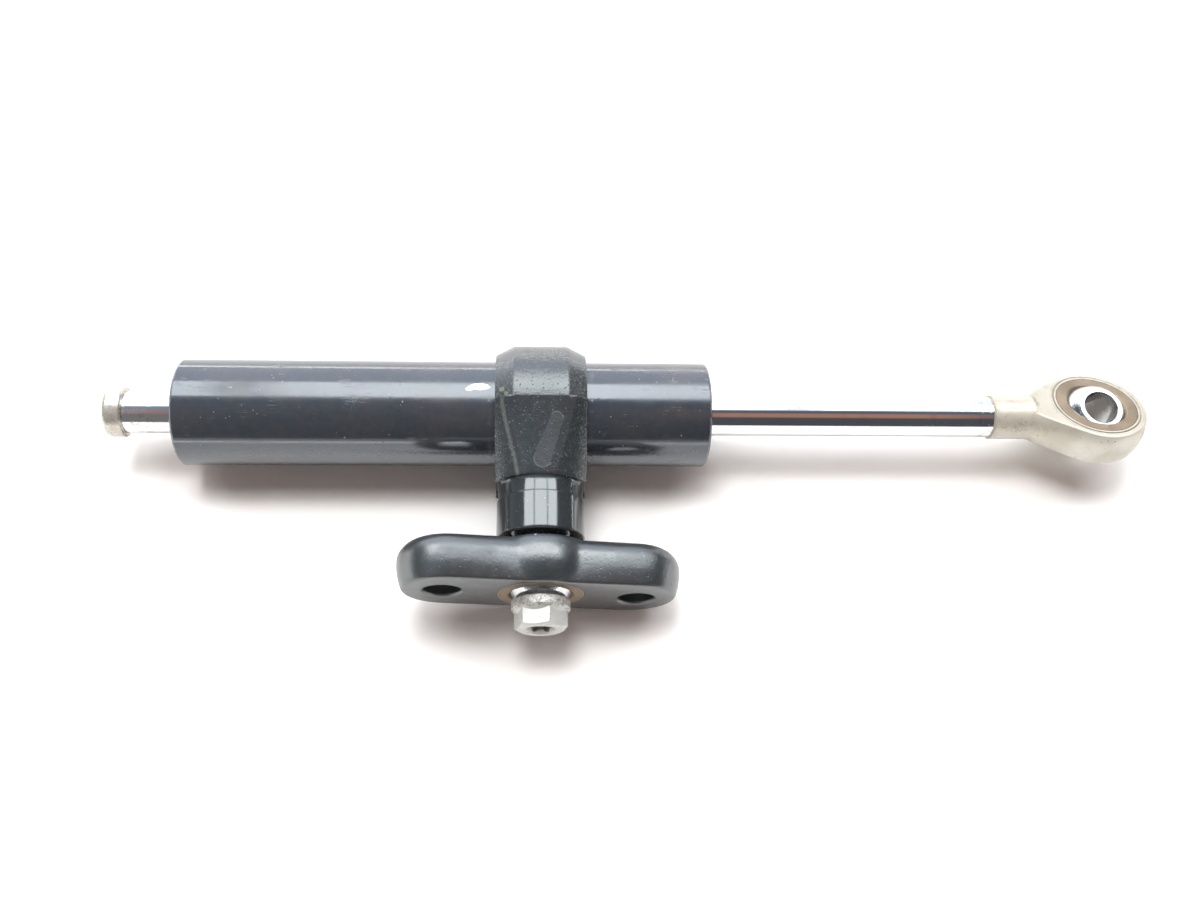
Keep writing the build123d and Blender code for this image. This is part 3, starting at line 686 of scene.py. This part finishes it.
def dress(names, material):
    """Gives each named node one material."""
    for name in names:
        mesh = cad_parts[name].data
        mesh.materials.clear()
        mesh.materials.append(material)


def add_object(name, data):
    """A new object in the scene that shows a mesh, lamp or camera."""
    made = bpy.data.objects.new(name, data)
    bpy.context.scene.collection.objects.link(made)
    return made


def finished_mesh(name, shape):
    """A mesh made from a bmesh, which is freed."""
    mesh = bpy.data.meshes.new(name)
    shape.to_mesh(mesh)
    shape.free()
    return mesh


# Bracket body: a bar with swelling sides, blended softly into the barrel round the race

def swelling_side(y, crown, front, depth, back):
    """Reach of the side at a depth y: an arc out to the crown, then an ellipse to the back."""
    if y <= depth:
        swell = crown - front
        arc = (depth**2 + swell**2) / (2 * swell)
        return crown - (arc - math.sqrt(max(arc**2 - (depth - y) ** 2, 0.0)))
    share = min((y - depth) / (BRACKET_THICKNESS - depth), 1.0)
    return back + (crown - back) * math.sqrt(1.0 - share**2)


def soft_larger(a, b, blend):
    """The larger of two values, rounded off where they are closer than blend."""
    share = min(max(0.5 + 0.5 * (a - b) / blend, 0.0), 1.0)
    return b + (a - b) * share + blend * share * (1.0 - share)


def bracket_ring(y, rounding):
    """Outline of the bracket at a depth y, drawn in by rounding."""
    reach = 21.1 * MM
    front = 10.1 * MM
    dip_end = 17.8 * MM
    dip_run = 9.8 * MM
    dip_depth = 0.45 * MM
    blend = 0.7 * MM
    widest = 12.72 * MM
    side_steps = 120
    end_steps = 56
    arm = swelling_side(y, crown=11.45 * MM, front=front, depth=6.3 * MM, back=6.0 * MM)
    arm -= rounding
    barrel = swelling_side(y, crown=12.6 * MM, front=front, depth=5.9 * MM, back=10.2 * MM)
    barrel -= rounding
    points = []
    for sign in (1, -1):
        for step in range(side_steps):
            x = reach - 2 * reach * step / side_steps
            hump = math.sqrt(max(barrel**2 - x**2, 0.0))
            taper = min(max((dip_end - abs(x)) / dip_run, 0.0), 1.0)
            dip = dip_depth * taper * math.sin(math.pi * y / BRACKET_THICKNESS)
            z = soft_larger(arm - dip, hump, blend)
            points.append((sign * x, y, sign * min(z, widest)))
        for step in range(end_steps):
            turn = math.pi * step / end_steps
            points.append((sign * (-reach - arm * math.sin(turn)), y, sign * arm * math.cos(turn)))
    return points


def turned_tool(name, outline, x=0.0):
    """Closed turned shape about the Y axis from (radius, y) points, for cutting a hole."""
    tool = bmesh.new()
    steps = 96
    rings = []
    for radius, y in outline:
        ring = []
        for step in range(steps):
            turn = math.tau * step / steps
            ring.append(tool.verts.new((x + radius * math.cos(turn), y, radius * math.sin(turn))))
        rings.append(ring)
    for lower, upper in zip(rings, rings[1:]):
        for step in range(steps):
            after = (step + 1) % steps
            tool.faces.new((lower[step], upper[step], upper[after], lower[after]))
    tool.faces.new(rings[0])
    tool.faces.new(rings[-1])
    bmesh.ops.recalc_face_normals(tool, faces=tool.faces)
    return add_object(name, finished_mesh(name, tool))


def cut(piece, tool):
    """Cuts the tool out of the piece and leaves a plain mesh."""
    modifier = piece.modifiers.new("cut", "BOOLEAN")
    modifier.operation = "DIFFERENCE"
    modifier.solver = "EXACT"
    modifier.object = tool
    settle(piece)
    bpy.data.objects.remove(tool)


def settle(piece):
    """Replaces a piece's mesh by its evaluated mesh and removes its modifiers."""
    bpy.context.view_layer.update()
    graph = bpy.context.evaluated_depsgraph_get()
    mesh = bpy.data.meshes.new_from_object(piece.evaluated_get(graph))
    piece.modifiers.clear()
    piece.data = mesh


def sharpen(mesh, limit):
    """Smooth shading, with edges past the limit kept sharp."""
    shape = bmesh.new()
    shape.from_mesh(mesh)
    for face in shape.faces:
        face.smooth = True
    for edge in shape.edges:
        if len(edge.link_faces) == 2:
            edge.smooth = edge.calc_face_angle(0.0) < limit
    shape.to_mesh(mesh)
    shape.free()


def bracket_levels():
    """Depths of the bracket's outlines, each with how far the outline is drawn in."""
    edge = 0.45 * MM
    edge_steps = 4
    side_steps = 12
    back_steps = 20
    levels = []
    for step in range(edge_steps + 1):
        turn = math.pi / 2 * step / edge_steps
        levels.append((edge * (1.0 - math.cos(turn)), edge * (1.0 - math.sin(turn))))
    for step in range(1, side_steps + 1):
        levels.append((edge + (BRACKET_CROWN_LEVEL - edge) * step / side_steps, 0.0))
    for step in range(1, back_steps + 1):
        turn = math.pi / 2 * step / back_steps
        back = (BRACKET_THICKNESS - BRACKET_CROWN_LEVEL) * math.sin(turn)
        levels.append((BRACKET_CROWN_LEVEL + back, 0.0))
    return levels


def make_bracket_piece(material):
    shape = bmesh.new()
    rings = [[shape.verts.new(p) for p in bracket_ring(y, inset)] for y, inset in bracket_levels()]
    count = len(rings[0])
    for lower, upper in zip(rings, rings[1:]):
        for step in range(count):
            after = (step + 1) % count
            shape.faces.new((lower[step], lower[after], upper[after], upper[step]))
    shape.faces.new(rings[0])
    shape.faces.new(rings[-1])
    bmesh.ops.recalc_face_normals(shape, faces=shape.faces)
    piece = add_object("bracket_body", finished_mesh("bracket_body", shape))

    over = 1.0 * MM
    bevel = 0.45 * MM
    back = BRACKET_THICKNESS
    seat = [(RACE_SEAT_RADIUS, -over), (RACE_SEAT_RADIUS, back + over)]
    cut(piece, turned_tool("race_seat", seat))
    hole = [
        (SCREW_HOLE_RADIUS + bevel + over, -over),
        (SCREW_HOLE_RADIUS, bevel),
        (SCREW_HOLE_RADIUS, back - bevel),
        (SCREW_HOLE_RADIUS + bevel + over, back + over),
    ]
    for side in (1, -1):
        cut(piece, turned_tool("screw_hole", hole, side * SCREW_HOLE_REACH))
    piece.data.transform(Matrix.Rotation(BRACKET_TURN, 4, "Y"))
    sharpen(piece.data, limit=math.radians(28))
    piece.data.materials.clear()
    piece.data.materials.append(material)
    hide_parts("mounting_bracket")
    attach(piece, "bracket_group")
    return piece


# Clamp yoke: the lug's top and bottom fall further towards a longer neck

LUG_BACK = 42.4 * MM
LUG_FRONT = 24.4 * MM
LUG_FALL = 0.195
BOSS_BACK = 21.77 * MM
COVE_REACH = 2.6 * MM
NECK_RADIUS = 9.85 * MM


def lug_fall(y):
    """Share of its height the lug keeps at a distance y from the bracket face."""
    share = min(max((LUG_BACK - y) / (LUG_BACK - LUG_FRONT), 0.0), 1.0)
    return 1.0 - LUG_FALL * share


def neck_point(x, y, z):
    """Moves a point of the wide cove behind the boss onto a longer, slimmer neck."""
    length = 3.75 * MM
    flare = 0.15
    curve = 0.6
    radius = math.hypot(x, z)
    share = min((y - BOSS_BACK) / COVE_REACH, 1.0)
    slim = (NECK_RADIUS + flare * (radius - NECK_RADIUS)) / radius
    return x * slim, BOSS_BACK + length * share**curve, z * slim


def make_yoke_piece(material):
    shape = bmesh.new()
    shape.from_mesh(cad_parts["clamp_yoke"].data)
    bmesh.ops.remove_doubles(shape, verts=shape.verts, dist=0.001 * MM)
    tube_seat = 12.7 * MM
    bolt_room = 9.0 * MM
    cove_front = 21.78 * MM
    cove_back = 24.38 * MM
    cove_widest = 12.47 * MM
    lug_start = 24.3 * MM
    front_top = 13.0 * MM
    top_slope = 0.175
    half_width = 10.65 * MM
    corner_drop = 0.22
    forward_share = 0.445
    for vert in shape.verts:
        x, y, z = vert.co
        from_rod = math.hypot(y - ROD_AXIS_Y, z)
        from_boss = math.hypot(x, z)
        in_cove = cove_front < y < cove_back and bolt_room < from_boss < cove_widest
        if in_cove:
            vert.co = neck_point(x, y, z)
        elif y > lug_start and from_rod > tube_seat and from_boss > bolt_room:
            keep = lug_fall(y)
            top = front_top + (y - LUG_FRONT) * top_slope
            lean = 1.0 - corner_drop * (x / half_width) ** 2 * (1.0 - keep) / LUG_FALL
            vert.co = (x, y + forward_share * top * (1.0 - keep), z * keep * lean)
    bmesh.ops.recalc_face_normals(shape, faces=shape.faces)
    mesh = finished_mesh("yoke_body", shape)
    piece = add_object("yoke_body", mesh)
    sharpen(mesh, limit=math.radians(11))
    mesh.materials.clear()
    mesh.materials.append(material)
    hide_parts("clamp_yoke")
    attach(piece, "damper_body")


# Grit: loose grains that have settled on the painted pieces

def grit_tree(material):
    """Scatters small grains over a surface, with inputs for their number, size and seed."""
    tree = bpy.data.node_groups.new("grit_grains", "GeometryNodeTree")
    new_socket = tree.interface.new_socket
    new_socket("Surface", in_out="INPUT", socket_type="NodeSocketGeometry")
    sockets = []
    for name, kind in (("Grains per square metre", "Float"), ("Grain radius", "Float"), ("Seed", "Int")):
        made = new_socket(name, in_out="INPUT", socket_type="NodeSocket" + kind)
        sockets.append(made.identifier)
    new_socket("Grains", in_out="OUTPUT", socket_type="NodeSocketGeometry")
    given = tree.nodes.new("NodeGroupInput")
    result = tree.nodes.new("NodeGroupOutput")
    scatter = tree.nodes.new("GeometryNodeDistributePointsOnFaces")
    grain = tree.nodes.new("GeometryNodeMeshIcoSphere")
    grain.inputs["Subdivisions"].default_value = 1
    spread = tree.nodes.new("GeometryNodeInstanceOnPoints")
    scale = tree.nodes.new("FunctionNodeRandomValue")
    scale.data_type = "FLOAT_VECTOR"
    scale.inputs[0].default_value = (0.25, 0.25, 0.15)
    scale.inputs[1].default_value = (1.0, 1.0, 0.5)
    real = tree.nodes.new("GeometryNodeRealizeInstances")
    paint = tree.nodes.new("GeometryNodeSetMaterial")
    paint.inputs["Material"].default_value = material
    link = tree.links.new
    link(given.outputs["Surface"], scatter.inputs["Mesh"])
    link(given.outputs["Grains per square metre"], scatter.inputs["Density"])
    link(given.outputs["Seed"], scatter.inputs["Seed"])
    link(given.outputs["Seed"], scale.inputs["Seed"])
    link(given.outputs["Grain radius"], grain.inputs["Radius"])
    link(scatter.outputs["Points"], spread.inputs["Points"])
    link(scatter.outputs["Rotation"], spread.inputs["Rotation"])
    link(grain.outputs["Mesh"], spread.inputs["Instance"])
    link(scale.outputs[0], spread.inputs["Scale"])
    link(spread.outputs["Instances"], real.inputs["Geometry"])
    link(real.outputs["Geometry"], paint.inputs["Geometry"])
    link(paint.outputs["Geometry"], result.inputs["Grains"])
    return tree, sockets


def make_grit(name, source, body, grit, density, radius, seed, keep):
    """Grains on a copy of one piece's surface, kept only on faces that pass keep."""
    tree, sockets = grit
    surface = bmesh.new()
    surface.from_mesh(source.data)
    bmesh.ops.remove_doubles(surface, verts=surface.verts, dist=0.0005 * MM)
    unwanted = [face for face in surface.faces if not keep(face)]
    bmesh.ops.delete(surface, geom=unwanted, context="FACES")
    piece = add_object(name, finished_mesh(name, surface))
    modifier = piece.modifiers.new("grains", "NODES")
    modifier.node_group = tree
    for socket, value in zip(sockets, (density, radius, seed)):
        modifier[socket] = value
    settle(piece)
    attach(piece, body)


# Studio

def seen_rays(tree):
    """1 for rays that show a surface to the camera, straight or by way of metal or glass."""
    rays = add_node(tree, "LightPath").outputs
    return most(tree, rays["Is Camera Ray"], rays["Is Glossy Ray"], rays["Is Transmission Ray"])


def plain_floor():
    """Pale table, made brighter only for the rays that show it."""
    mesh = bpy.data.meshes.new("floor")
    reach = FLOOR_REACH
    corners = [(x * reach, y * reach, FLOOR_Z) for x, y in ((-1, -1), (1, -1), (1, 1), (-1, 1))]
    mesh.from_pydata(corners, [], [(0, 1, 2, 3)])
    floor = add_object("floor", mesh)
    material, tree, place, _ = start_finish("pale_table")
    cloud = noise(tree, place, 0.02, 3.0, 0.5)
    colour = mix_colour(tree, cloud, (0.945, 0.943, 0.940, 1), (0.965, 0.963, 0.962, 1))
    away = round_place(tree, place, (0.0, 45.0, 0.0), Z_AXIS)
    gain = fade(tree, away, *FLOOR_FADE, NEAR_FLOOR_GAIN, FAR_FLOOR_GAIN)
    shown = mix_colour(tree, seen_rays(tree), colour, scaled(tree, colour, gain))
    mesh.materials.append(finish(material, shown, 0.8, specular=0.0))


def window_light(x_low, x_high):
    """One pane of a tall window behind the damper, facing it."""
    towards = Vector((0.0, math.cos(WINDOW_HEIGHT_ANGLE), math.sin(WINDOW_HEIGHT_ANGLE)))
    width = x_high - x_low
    lamp = bpy.data.lights.new("window_pane", "AREA")
    lamp.shape = "RECTANGLE"
    lamp.size = width
    lamp.size_y = WINDOW_HEIGHT
    lamp.energy = WINDOW_RADIANCE * math.pi * width * WINDOW_HEIGHT
    lamp.color = (0.97, 0.985, 1.0)
    lamp.diffuse_factor = WINDOW_SHARE_OF_LIGHT
    pane = add_object("window_pane", lamp)
    pane.location = towards * WINDOW_DISTANCE + Vector(((x_low + x_high) / 2, 0.0, 0.0))
    pane.rotation_euler = towards.to_track_quat("Z", "Y").to_euler()
    pane.visible_camera = False


def overhead_lamp():
    """Small soft lamp over the left end, left out of reflections."""
    lamp = bpy.data.lights.new("overhead", "AREA")
    lamp.shape = "DISK"
    lamp.size = OVERHEAD_SIZE
    lamp.energy = OVERHEAD_POWER
    lamp.color = (1.0, 0.99, 0.97)
    panel = add_object("overhead", lamp)
    panel.location = OVERHEAD_PLACE
    panel.visible_camera = False
    panel.visible_glossy = False


def ceiling_colours(tree, parts):
    """Dim room over the viewer: cool overhead, lighter to the left, with copper bands."""
    x = parts.outputs[0]
    y = parts.outputs[1]
    across = fade(tree, x, -1.4, 0.6)
    cool = mix_colour(tree, across, (0.24, 0.29, 0.37, 1), (0.10, 0.13, 0.18, 1))
    dim = mix_colour(tree, across, (0.20, 0.19, 0.19, 1), (0.075, 0.08, 0.09, 1))
    room = mix_colour(tree, fade(tree, y, -0.2, -1.9), cool, dim)
    near_window = fade(tree, y, 0.05, 0.55)
    room = mix_colour(tree, near_window, room, (0.95, 1.05, 1.20, 1))
    zone = times(tree, fade(tree, y, -0.35, -0.72), fade(tree, y, -1.72, -1.30))
    right = times(tree, fade(tree, x, 0.36, 0.56), fade(tree, x, 1.5, 1.1))
    left = times(tree, fade(tree, x, -1.20, -1.08), fade(tree, x, -0.90, -1.00))
    sideways = maths(tree, "MAXIMUM", right, times(tree, left, 0.6))
    room = mix_colour(tree, times(tree, zone, sideways), room, (0.42, 0.21, 0.145, 1))
    far_left = fade(tree, x, -1.04, -1.16)
    return mix_colour(tree, times(tree, zone, far_left), room, (0.50, 0.48, 0.54, 1))


def wall_colours(tree, parts):
    """Sunlit wall below the window, dark at its right end."""
    x = parts.outputs[0]
    across = fade(tree, x, -1.5, 1.5)
    wall = mix_colour(tree, across, (1.70, 1.80, 2.02, 1), (1.48, 1.60, 1.82, 1))
    return mix_colour(tree, fade(tree, x, 1.0, 1.8), wall, (0.16, 0.19, 0.21, 1))


def side_colours(tree, parts):
    """Unlit walls beside the window, lighter low down and on the left."""
    low_down = fade(tree, parts.outputs[2], 1.6, 0.1)
    left = mix_colour(tree, low_down, (0.11, 0.13, 0.145, 1), (0.30, 0.33, 0.34, 1))
    right = mix_colour(tree, low_down, (0.012, 0.017, 0.02, 1), (0.04, 0.047, 0.05, 1))
    return mix_colour(tree, fade(tree, parts.outputs[0], -1.0, 1.0), left, right)


def sheet_point(x, degrees):
    """Point on the drum of sheets about the X axis, at an angle up from +Y."""
    turn = math.radians(degrees)
    return x, SHEET_RADIUS * math.cos(turn), SHEET_RADIUS * math.sin(turn)


def reflected_sheet(name, low, high, span, colours):
    """Curved sheet between two angles, as wide as span."""
    points = []
    for step in range(SHEET_STEPS + 1):
        degrees = low + (high - low) * step / SHEET_STEPS
        points += [sheet_point(x, degrees) for x in span]
    faces = [(2 * i, 2 * i + 1, 2 * i + 3, 2 * i + 2) for i in range(SHEET_STEPS)]
    glowing_sheet(name, points, faces, colours)


def end_sheet(name, x, colours):
    """Flat sheet that closes one end of the curved ones."""
    sweep = CEILING_END - WALL_FOOT
    steps = range(SHEET_STEPS + 1)
    points = [sheet_point(x, WALL_FOOT + sweep * step / SHEET_STEPS) for step in steps]
    glowing_sheet(name, points, [tuple(steps)], colours)


def glowing_sheet(name, points, faces, colours):
    """Sheet with its own light, seen only in reflections."""
    mesh = bpy.data.meshes.new(name)
    mesh.from_pydata(points, [], faces)
    sheet = add_object(name, mesh)
    material = bpy.data.materials.new(name)
    material.use_nodes = True
    tree = material.node_tree
    tree.nodes.clear()
    coords = add_node(tree, "TexCoord").outputs["Object"]
    parts = add_node(tree, "SeparateXYZ", {0: coords})
    glow = add_node(tree, "Emission", {"Color": colours(tree, parts), "Strength": 1.0})
    add_node(tree, "OutputMaterial", {"Surface": glow.outputs[0]})
    mesh.materials.append(material)
    for ray in ("visible_camera", "visible_diffuse", "visible_shadow", "visible_transmission"):
        setattr(sheet, ray, False)


def soft_world():
    """White where it is seen, straight or by way of metal or glass, and dim and warm as light."""
    world = bpy.data.worlds.new("studio")
    world.use_nodes = True
    tree = world.node_tree
    tree.nodes.clear()
    colour = mix_colour(tree, seen_rays(tree), (0.25, 0.196, 0.176, 1), (0.97, 0.97, 0.97, 1))
    back = add_node(tree, "Background", {"Color": colour, "Strength": 1.0})
    add_node(tree, "OutputWorld", {"Surface": back.outputs[0]})
    bpy.context.scene.world = world


def photo_camera():
    """Camera at the photograph's viewing angle and distance."""
    azimuth = math.radians(9.59)
    elevation = math.radians(65.91)
    roll = math.radians(-9.0)
    place = Vector((-3.355, -68.515, 236.848)) * MM
    sensor_width = 36.0
    focal_pixels = 1079.0
    picture_pixels = 1200.0
    level = math.cos(elevation)
    forward = Vector((math.sin(azimuth) * level, math.cos(azimuth) * level, -math.sin(elevation)))
    right = Vector((math.cos(azimuth), -math.sin(azimuth), 0.0))
    down = forward.cross(right)
    picture_right = math.cos(roll) * right + math.sin(roll) * down
    picture_down = -math.sin(roll) * right + math.cos(roll) * down
    data = bpy.data.cameras.new("photo_camera")
    data.sensor_fit = "HORIZONTAL"
    data.sensor_width = sensor_width
    data.lens = sensor_width * focal_pixels / picture_pixels
    data.clip_start = 0.01
    data.clip_end = 50.0
    camera = add_object("photo_camera", data)
    turn = Matrix((picture_right, -picture_down, -forward)).transposed().to_4x4()
    camera.matrix_world = Matrix.Translation(place) @ turn
    bpy.context.scene.camera = camera


# Materials on the solids

tube_paint = paint_tube()
bracket_paint = paint_bracket()
yoke_paint = paint_yoke()
aluminium = turned_metal("turned_aluminium", (0.50, 0.51, 0.52, 1), (0.70, 0.71, 0.72, 1))
ring_steel = turned_metal("ring_steel", (0.16, 0.16, 0.165, 1), (0.28, 0.28, 0.28, 1))
bush_bronze = bronze_race("bush_bronze", ROD_LINE, X_AXIS, 5.6)
rubber = black_rubber()
dress(["cylinder_tube"], tube_paint)
dress(["clamp_yoke"], yoke_paint)
dress(["mounting_bracket"], bracket_paint)
dress(["damper_rod"], chrome_rod())
dress(["rod_end_cap"], nickel_cap())
dress(["rod_end_housing"], plated_rod_end())
dress(["rod_end_race"], bronze_race("eye_race_bronze", EYE_MM, HOUSING_AXIS, 9.75))
dress(["bracket_race"], bronze_race("bracket_race_bronze", ORIGIN, Y_AXIS, 9.2))
dress(["rod_end_ball"], chrome_ball("eye_ball_chrome", EYE_MM, Z_AXIS))
dress(["bracket_ball"], chrome_ball("bracket_ball_chrome", ORIGIN, Y_AXIS))
dress(["pivot_bolt"], zinc_bolt())
dress(["piston_band"], filled_plastic())
dress(["piston"], aluminium)
for side in ("left", "right"):
    dress([side + "_gland"], aluminium)
    dress([side + "_guide_bush"], bush_bronze)
    dress([side + "_rod_seal", side + "_wiper", side + "_gland_o_ring"], rubber)
    dress([side + "_retaining_ring", side + "_piston_clip"], ring_steel)

# Pieces made here

make_yoke_piece(yoke_paint)
bracket_piece = make_bracket_piece(bracket_paint)
grit = grit_tree(grit_finish())


def on_tube_side(face):
    """The tube's round side, but not its underside or short faces inside the yoke."""
    middle = face.calc_center_median()
    outward = math.hypot(middle.y - ROD_AXIS_Y, middle.z) > TUBE_RADIUS - 0.05 * MM
    clear_of_yoke = abs(middle.x) > 11.5 * MM
    long_face = face.calc_area() > 3e-5
    above_table = middle.z > -10 * MM
    return outward and (clear_of_yoke or long_face) and above_table


def on_bracket_side(face):
    """The bracket's sides and back, away from its front face."""
    return face.normal.y > -0.5 and face.calc_center_median().y > 1.5 * MM


make_grit(
    "tube_grit",
    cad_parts["cylinder_tube"],
    "damper_body",
    grit,
    density=3200.0,
    radius=0.09 * MM,
    seed=7,
    keep=on_tube_side,
)
make_grit(
    "bracket_grit",
    bracket_piece,
    "bracket_group",
    grit,
    density=6000.0,
    radius=0.08 * MM,
    seed=11,
    keep=on_bracket_side,
)

# Studio round the damper

bpy.context.scene.view_settings.view_transform = "Standard"
plain_floor()
for pane_low, pane_high in WINDOW_PANES:
    window_light(pane_low, pane_high)
overhead_lamp()
reflected_sheet("dark_ceiling", WINDOW_TOP, CEILING_END, (-ROOM_REACH, ROOM_REACH), ceiling_colours)
reflected_sheet("bright_wall", WALL_FOOT, WALL_TOP, (-WALL_REACH, WALL_REACH), wall_colours)
for side, way in (("left", -1.0), ("right", 1.0)):
    end = way * ROOM_REACH
    reflected_sheet(side + "_of_window", WALL_TOP, WINDOW_TOP, (way * WINDOW_REACH, end), side_colours)
    reflected_sheet(side + "_of_wall", WALL_FOOT, WALL_TOP, (way * WALL_REACH, end), side_colours)
    end_sheet(side + "_end_of_room", end, side_colours)
soft_world()
photo_camera()
